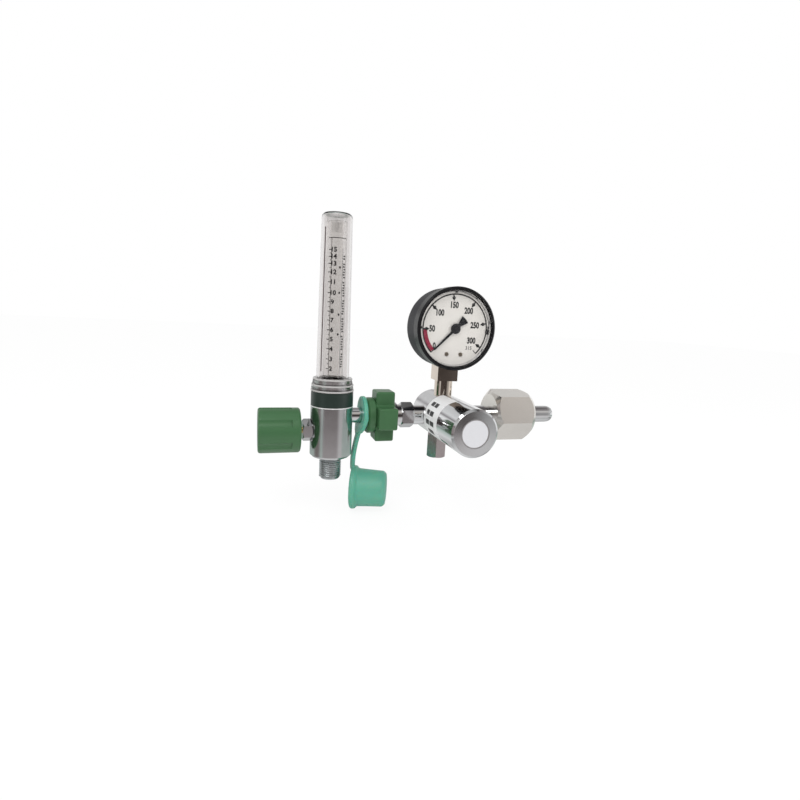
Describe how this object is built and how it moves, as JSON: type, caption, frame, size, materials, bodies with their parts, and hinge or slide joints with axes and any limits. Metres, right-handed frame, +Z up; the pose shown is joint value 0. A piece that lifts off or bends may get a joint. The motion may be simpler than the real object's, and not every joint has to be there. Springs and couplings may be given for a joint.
{
  "type": "oxygen regulator",
  "caption": "Medical oxygen regulator: turned cylinder regulator with contents gauge and inlet nut, joined by a wing nut to a clear tube flowmeter with control knob and hanging cap",
  "frame": {"origin": "On the axis of the inlet nipple, in the middle of its free straight part beyond the nut.", "axes": "+X along the pipe line towards the nipple's free end, -Y towards the user and the gauge's face, +Z up along the flowmeter tube."},
  "size_m": [0.2058, 0.0746, 0.1872],
  "materials": {
    "chrome": "polished chromium plating",
    "satin_nickel": "satin nickel plating",
    "spring_steel": "drawn wire",
    "brass": "machined",
    "sintered_bronze": "sintered grains",
    "green_plastic": "moulded, soft gloss",
    "dark_green_band": "smooth sleeve",
    "teal_rubber": "soft moulding",
    "black_rubber": "moulded ring",
    "clear_plastic": "clear moulding",
    "scale_tube": "clear, printed scale",
    "lens_plastic": "clear, polished",
    "charcoal_paint": "satin enamel",
    "black_bezel": "moulded, gloss",
    "dial_white": "matt enamel",
    "pointer_black": "matt enamel",
    "label_film": "printed film",
    "disc_white": "film disc",
    "steel_ball": "polished ball",
    "nylon": "machined"
  },
  "bodies": {
    "regulator": {"inlet_nipple": "chrome", "inlet_filter": "sintered_bronze", "regulator_body": "satin_nickel", "seat_nozzle": "brass", "back_plug": "satin_nickel", "poppet_spring": "spring_steel", "bonnet": "chrome", "front_disc": "disc_white", "adjusting_screw": "brass", "spring_plate": "brass", "main_spring": "spring_steel", "body_label": "label_film", "relief_body": "chrome", "relief_spring": "spring_steel", "relief_screw": "brass", "outlet_fitting": "chrome", "meter_inlet_pipe": "chrome", "pipe_seal": "black_rubber", "meter_body": "satin_nickel", "meter_band": "dark_green_band", "outlet_stud": "chrome", "metering_tube": "scale_tube", "tube_seal": "black_rubber", "float_stop": "nylon", "tube_cover": "clear_plastic", "valve_gland": "chrome", "gauge_case": "charcoal_paint", "gauge_bezel": "black_bezel", "gauge_lens": "lens_plastic", "gauge_dial": "dial_white", "dial_screw_left": "brass", "dial_screw_right": "brass", "gauge_socket": "brass", "bourdon_tube": "brass", "movement_plate_front": "brass", "movement_plate_back": "brass", "movement_post_1": "brass", "movement_post_2": "brass", "movement_post_3": "brass", "movement_post_4": "brass"},
    "inlet_nut": {"inlet_nut": "chrome"},
    "piston": {"piston": "brass", "piston_seal": "black_rubber"},
    "poppet": {"poppet": "nylon"},
    "relief_poppet": {"relief_poppet": "brass"},
    "wing_nut": {"wing_nut_grip": "green_plastic", "wing_nut_insert": "brass"},
    "cap": {"tether_cap": "teal_rubber"},
    "float": {"float_ball": "steel_ball"},
    "valve_slide": {"stem_seal": "black_rubber"},
    "flow_knob": {"flow_knob": "green_plastic", "valve_stem": "brass"},
    "gauge_sector": {"sector_gear": "brass"},
    "gauge_link": {"gauge_link": "brass"},
    "gauge_pointer": {"gauge_pinion": "brass", "gauge_pointer": "pointer_black"}
  },
  "joints": [
    {"name": "inlet_nut_spin", "type": "hinge", "parent": "regulator", "child": "inlet_nut", "pos_m": [-0.0222, 0, 0], "axis": [1, 0, 0], "continuous": true},
    {"name": "wing_nut_turn", "type": "hinge", "parent": "regulator", "child": "wing_nut", "pos_m": [-0.116, 0, 0], "axis": [1, 0, 0], "range_deg": [0, 360]},
    {"name": "cap_swing", "type": "hinge", "parent": "regulator", "child": "cap", "pos_m": [-0.1273, 0, 0], "axis": [1, 0, 0], "range_deg": [-75, 75]},
    {"name": "stem_travel", "type": "slide", "parent": "regulator", "child": "valve_slide", "axis": [-1, 0, 0], "range_m": [0, 0.0015]},
    {"name": "flow_knob_turn", "type": "hinge", "parent": "valve_slide", "child": "flow_knob", "pos_m": [-0.1775, 0, -0.0093], "axis": [-1, 0, 0], "range_deg": [0, 541]},
    {"name": "float_rise", "type": "slide", "parent": "regulator", "child": "float", "axis": [0, 0, 1], "range_m": [0, 0.088]},
    {"name": "piston_stroke", "type": "slide", "parent": "regulator", "child": "piston", "axis": [0, 1, 0], "range_m": [-0.0012, 0], "stiffness_N_per_m": 3000, "springref_m": 0.01, "deforming": ["main_spring"]},
    {"name": "poppet_stroke", "type": "slide", "parent": "regulator", "child": "poppet", "axis": [0, 1, 0], "range_m": [-0.0012, 0], "deforming": ["poppet_spring"]},
    {"name": "relief_lift", "type": "slide", "parent": "regulator", "child": "relief_poppet", "axis": [0, 0, -1], "range_m": [0, 0.001], "stiffness_N_per_m": 600, "springref_m": -0.004, "deforming": ["relief_spring"]},
    {"name": "gauge_reading", "type": "hinge", "parent": "regulator", "child": "gauge_sector", "pos_m": [-0.0724, 0, 0.0448], "axis": [0, 1, 0], "range_deg": [-45, 0], "stiffness_Nm_per_rad": 0.02, "springref_deg": 8.59, "deforming": ["bourdon_tube"]},
    {"name": "pointer_turn", "type": "hinge", "parent": "regulator", "child": "gauge_pointer", "pos_m": [-0.0724, 0, 0.0588], "axis": [0, 1, 0], "range_deg": [0, 270]},
    {"name": "link_turn", "type": "hinge", "parent": "gauge_sector", "child": "gauge_link", "pos_m": [-0.0685, 0, 0.04255], "axis": [0, 1, 0], "range_deg": [0, 45]}
  ],
  "couplings": [
    {"joint": "flow_knob_turn", "follows": "stem_travel", "rad_per_m": 6283.2},
    {"joint": "poppet_stroke", "follows": "piston_stroke", "ratio": 1},
    {"joint": "pointer_turn", "follows": "gauge_reading", "ratio": -6},
    {"joint": "link_turn", "follows": "gauge_reading", "ratio": -1}
  ]
}
